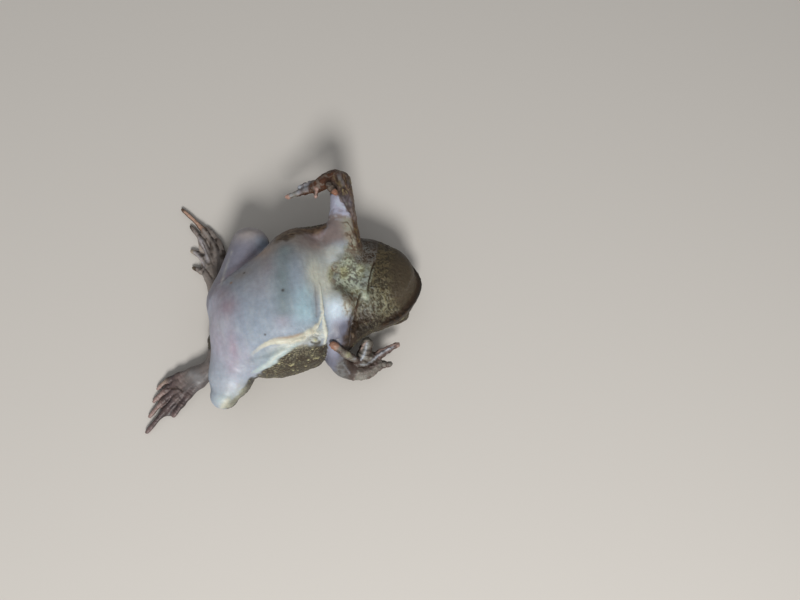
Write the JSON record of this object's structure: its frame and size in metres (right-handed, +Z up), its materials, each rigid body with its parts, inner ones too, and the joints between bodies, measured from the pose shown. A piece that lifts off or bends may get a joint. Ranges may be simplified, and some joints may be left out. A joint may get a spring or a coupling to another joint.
{
  "type": "narrow-mouthed frog model lying on its back",
  "caption": "Life-size still model of a plump narrow-mouthed frog lying belly-up, limbs spread, resting on its back.",
  "frame": {"origin": "on the floor, at the centre of the whole model's outline in plan", "axes": "+X from the rump to the snout, +Y to the frog's right side, +Z up, which is its belly side"},
  "size_m": [0.0655, 0.0496, 0.0212],
  "materials": {
    "belly_skin": "smooth, moist, blue-grey to violet",
    "back_skin": "granular, moist, dark olive brown with pale yellow specks",
    "palm_skin": "ridged, moist, dark purplish brown",
    "eye": "glossy, dark gold iris with a black pupil"
  },
  "bodies": {
    "root": {"head": "back_skin", "eye_left": "eye", "eye_right": "eye", "torso": "belly_skin", "upper_arm_left": "belly_skin", "upper_arm_right": "belly_skin", "forearm_left": "belly_skin", "forearm_right": "belly_skin", "hand_left": "palm_skin", "hand_right": "palm_skin", "thigh_left": "belly_skin", "thigh_right": "belly_skin", "shank_left": "back_skin", "shank_right": "back_skin", "tarsus_left": "back_skin", "tarsus_right": "back_skin", "foot_left": "palm_skin", "foot_right": "palm_skin"}
  },
  "joints": []
}
